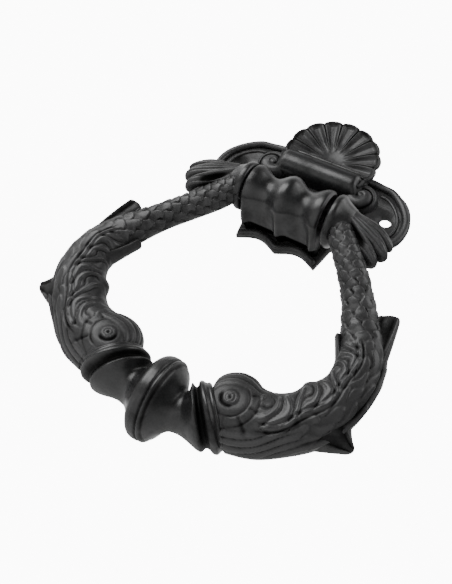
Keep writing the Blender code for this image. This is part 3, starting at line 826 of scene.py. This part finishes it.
def coated_iron(name, grain, coat, hollow, crest, smooth, dull, gloss, bump=0.00012, dimples=0.5):
    made = bpy.data.materials.new(name)
    made.use_nodes = True
    tree = made.node_tree
    shader = tree.nodes["Principled BSDF"]
    where = tree.nodes.new("ShaderNodeTexCoord").outputs["Object"]
    surface = tree.nodes.new("ShaderNodeGroup")
    surface.node_tree = grain
    surface.inputs["Dimples"].default_value = dimples
    link(tree, where, surface.inputs["Position"])
    relief = tree.nodes.new("ShaderNodeAttribute")
    relief.attribute_name = "relief"
    skin = tree.nodes.new("ShaderNodeGroup")
    skin.node_tree = coat
    # Painted shade: the hollow colour is the dark that the relief fades the hollows and grooves to.
    skin.inputs["Hollow"].default_value = (*hollow, 1.0)
    skin.inputs["Crest"].default_value = (*crest, 1.0)
    skin.inputs["Smooth"].default_value = smooth
    skin.inputs["Dull"].default_value = dull
    skin.inputs["Gloss"].default_value = gloss
    link(tree, relief.outputs["Fac"], skin.inputs["Relief"])
    link(tree, surface.outputs["Mottle"], skin.inputs["Mottle"])
    link(tree, skin.outputs["Color"], shader.inputs["Base Color"])
    link(tree, skin.outputs["Roughness"], shader.inputs["Roughness"])
    link(tree, skin.outputs["Sheen"], shader.inputs["Coat Weight"])
    shader.inputs["Coat Roughness"].default_value = 0.24
    shader.inputs["Specular IOR Level"].default_value = 0.36
    dent = tree.nodes.new("ShaderNodeBump")
    dent.inputs["Distance"].default_value = bump
    dent.inputs["Strength"].default_value = 0.5
    link(tree, surface.outputs["Height"], dent.inputs["Height"])
    link(tree, dent.outputs["Normal"], shader.inputs["Normal"])
    # Painted shade: the metallic mask darkens the hollows.
    link(tree, skin.outputs["Hollow Shade"], shader.inputs["Metallic"])
    return made


def drawn_steel(grain):
    made = bpy.data.materials.new("blackened_pin_steel")
    made.use_nodes = True
    tree = made.node_tree
    shader = tree.nodes["Principled BSDF"]
    where = tree.nodes.new("ShaderNodeTexCoord").outputs["Object"]
    surface = tree.nodes.new("ShaderNodeGroup")
    surface.node_tree = grain
    link(tree, where, surface.inputs["Position"])
    tone = tree.nodes.new("ShaderNodeMix")
    tone.data_type = "RGBA"
    tone.inputs["A"].default_value = (0.05, 0.05, 0.052, 1.0)
    tone.inputs["B"].default_value = (0.14, 0.14, 0.145, 1.0)
    link(tree, surface.outputs["Mottle"], tone.inputs["Factor"])
    link(tree, tone.outputs["Result"], shader.inputs["Base Color"])
    link(tree, math_node(tree, "MULTIPLY_ADD", surface.outputs["Mottle"], 0.3), shader.inputs["Roughness"])
    shader.inputs["Metallic"].default_value = 1.0
    return made


# Stage, light and camera ------------------------------------------------------------

CAMERA_PLACE = (98.579, -265.680, -178.914)
CAMERA_RIGHT = Vector((0.850196, 0.077961, 0.520662))
CAMERA_UP = Vector((-0.402650, -0.540855, 0.738477))
CAMERA_BACK = Vector((0.339175, -0.837495, -0.428442))
LENS = 42.41


def camera():
    data = bpy.data.cameras.new("main_camera")
    data.lens = LENS
    data.sensor_width = 36.0
    data.clip_start = 0.01
    eye = bpy.data.objects.new("main_camera", data)
    bpy.context.scene.collection.objects.link(eye)
    turn = Matrix((CAMERA_RIGHT, CAMERA_UP, CAMERA_BACK)).transposed().to_4x4()
    eye.matrix_world = Matrix.Translation(Vector(CAMERA_PLACE) * MM) @ turn
    bpy.context.scene.camera = eye


def soft_light(name, direction, distance, size, power):
    """An area light that faces the middle of the ring from a direction given in the camera's axes."""
    target = Vector((0.0, -18.0, -40.0)) * MM
    away = (
        CAMERA_RIGHT * direction[0] + CAMERA_UP * direction[1] + CAMERA_BACK * direction[2]
    ).normalized()
    data = bpy.data.lights.new(name, "AREA")
    data.shape = "RECTANGLE"
    data.size, data.size_y = size
    data.energy = power
    lamp = bpy.data.objects.new(name, data)
    bpy.context.scene.collection.objects.link(lamp)
    facing = away.to_track_quat("Z", "Y").to_matrix().to_4x4()
    lamp.matrix_world = Matrix.Translation(target + away * distance) @ facing


def world():
    made = bpy.data.worlds.new("white_studio")
    made.use_nodes = True
    tree = made.node_tree
    shade = tree.nodes["Background"]
    shade.inputs["Color"].default_value = (1.0, 1.0, 1.0, 1.0)
    bright = tree.nodes.new("ShaderNodeBackground")
    bright.inputs["Strength"].default_value = 14.0
    where = tree.nodes.new("ShaderNodeTexCoord")
    facing = tree.nodes.new("ShaderNodeVectorMath")
    facing.operation = "DOT_PRODUCT"
    facing.inputs[1].default_value = -CAMERA_BACK
    link(tree, where.outputs["Generated"], facing.inputs[0])
    rear = tree.nodes.new("ShaderNodeMapRange")
    rear.interpolation_type = "SMOOTHSTEP"
    for name, value in (("From Min", -0.1), ("From Max", 0.75), ("To Min", 0.06), ("To Max", 1.1)):
        rear.inputs[name].default_value = value
    link(tree, facing.outputs["Value"], rear.inputs["Value"])
    link(tree, rear.outputs["Result"], shade.inputs["Strength"])
    path = tree.nodes.new("ShaderNodeLightPath")
    mixed = tree.nodes.new("ShaderNodeMixShader")
    link(tree, path.outputs["Is Camera Ray"], mixed.inputs["Fac"])
    link(tree, shade.outputs["Background"], mixed.inputs[1])
    link(tree, bright.outputs["Background"], mixed.inputs[2])
    link(tree, mixed.outputs["Shader"], tree.nodes["World Output"].inputs["Surface"])
    bpy.context.scene.world = made


def floor():
    bm = bmesh.new()
    bmesh.ops.create_grid(bm, x_segments=1, y_segments=1, size=FLOOR_HALF)
    bmesh.ops.translate(bm, verts=bm.verts, vec=(0.0, 0.0, cad_box[0][2] - FLOOR_BELOW))
    mesh = bpy.data.meshes.new("pale_floor")
    bm.to_mesh(mesh)
    bm.free()
    paint = bpy.data.materials.new("pale_floor_paint")
    paint.use_nodes = True
    shader = paint.node_tree.nodes["Principled BSDF"]
    shader.inputs["Base Color"].default_value = (0.85, 0.85, 0.85, 1.0)
    shader.inputs["Roughness"].default_value = 0.8
    mesh.materials.append(paint)
    ground = bpy.data.objects.new("pale_floor", mesh)
    bpy.context.scene.collection.objects.link(ground)


def main():
    grain, coat = cast_grain_group(), painted_shade_coat_group()
    # Each coat's first colour is painted shade for its hollows; the second is the coat's own colour on its
    # crests.
    iron = coated_iron(
        "satin_black_coat", grain, coat, (0.0012, 0.0012, 0.0012), (0.024, 0.024, 0.0245), 0.44, 0.68, 0.25
    )
    smooth_iron = coated_iron(
        "smooth_black_coat", grain, coat, (0.0012, 0.0012, 0.0012), (0.008, 0.008, 0.0085), 0.27, 0.55, 0.6
    )
    plate(iron)
    cornice(smooth_iron)
    swept_roll("lip_roll", lip_path(), (1.8, 1.8), iron, steps=300)
    knuckle(smooth_iron)
    shell(iron)
    for side in (-1, 1):
        hand = "right" if side > 0 else "left"
        volute_boss(side, iron)
        swept_roll(f"{hand}_scroll", scroll_path(side), (2.2, 1.7), iron, steps=420)
        swept_roll(f"{hand}_inner_bead", inner_rim_path(side), (0.8, 0.8), iron, sides=16)
        dolphin_body(side, iron)
        fins(side, iron)
        tail_fluke(side, iron)
        collar(side, smooth_iron)
    grip(smooth_iron)
    pin = frame["nodes"]["hinge_pin"]
    pin.data.materials.clear()
    pin.data.materials.append(drawn_steel(grain))
    world()
    floor()
    soft_light("key_light", (-0.45, 1.0, 0.30), 0.8, (0.9, 0.5), 9.0)
    soft_light("side_light", (1.0, 0.45, 0.25), 0.8, (0.5, 0.8), 3.6)
    soft_light("low_light", (-0.7, -1.0, 0.20), 0.8, (1.0, 0.5), 3.0)
    camera()


main()
